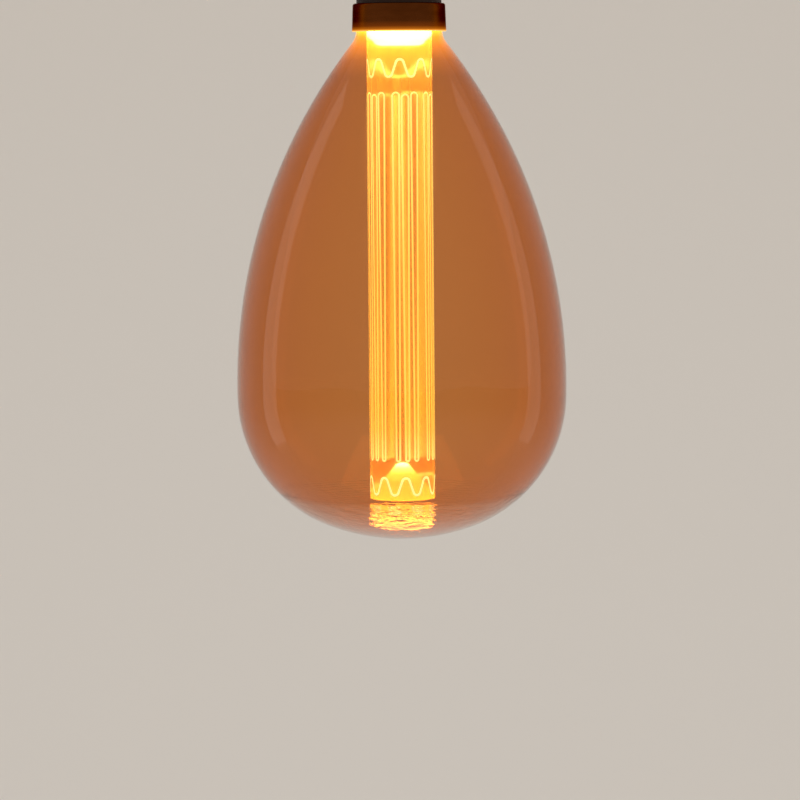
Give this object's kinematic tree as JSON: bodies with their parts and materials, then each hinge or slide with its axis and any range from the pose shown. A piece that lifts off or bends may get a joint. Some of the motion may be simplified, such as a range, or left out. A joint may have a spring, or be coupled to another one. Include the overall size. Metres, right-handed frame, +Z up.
{
  "type": "led bulb",
  "caption": "Teardrop LED bulb with a screw cap, a stepped metal collar, a thin amber glass envelope and a clear light guide engraved with filament-like lines.",
  "frame": {"origin": "centre of the outer face of the cap's centre contact", "axes": "+Z up along the bulb's axis, out of the cap; the glass hangs below, towards -Z; -Y is the side that the picture shows"},
  "size_m": [0.165, 0.165, 0.3045],
  "materials": {
    "amber_glass": "clear blown glass, tinted amber through",
    "collar_metal": "polished dark bronze",
    "cement": "matte",
    "housing_plastic": "dark brown satin moulding",
    "cap_metal": "nickel-plated brass, satin",
    "cap_insulator": "black vitrified glass",
    "contact_metal": "tinned, slightly scuffed",
    "clear_acrylic": "clear polished acrylic with frosted engraved lines",
    "holder_plastic": "white satin moulding",
    "led_board": "white solder mask on a metal core",
    "led_body": "white moulding",
    "phosphor": "orange-yellow silicone",
    "steel": "zinc-plated",
    "thermal_pad": "soft silicone sheet",
    "aluminium": "turned",
    "circuit_board": "green solder mask on glass-fibre board",
    "chip_plastic": "black moulding with tinned legs",
    "film_capacitor": "dipped resin",
    "capacitor_can": "bright drawn can",
    "sleeve_plastic": "shrunk sleeve",
    "ferrite": "matte sintered",
    "winding": "enamelled copper wire under varnish",
    "resistor_body": "lacquered",
    "brown_lead": "insulated wire",
    "blue_lead": "insulated wire",
    "red_lead": "insulated wire",
    "black_lead": "insulated wire",
    "solder": "solidified solder"
  },
  "bodies": {
    "root": {"glass_bulb": "amber_glass", "collar": "collar_metal", "neck_cement": "cement", "driver_housing": "housing_plastic", "screw_shell": "cap_metal", "cap_insulator": "cap_insulator", "centre_contact": "contact_metal", "light_guide": "clear_acrylic", "guide_holder": "holder_plastic", "led_board": "led_board", "led_packages": "led_body", "led_phosphors": "phosphor", "board_screws": "steel", "thermal_pad": "thermal_pad", "heat_sink": "aluminium", "driver_board": "circuit_board", "bridge_rectifier": "chip_plastic", "driver_chip": "chip_plastic", "sense_resistors": "chip_plastic", "film_capacitor": "film_capacitor", "smoothing_capacitor": "capacitor_can", "capacitor_sleeve": "sleeve_plastic", "choke_core": "ferrite", "choke_winding": "winding", "fuse_resistor": "resistor_body", "live_lead": "brown_lead", "neutral_lead": "blue_lead", "led_lead_positive": "red_lead", "led_lead_negative": "black_lead", "led_solder": "solder"}
  },
  "joints": []
}
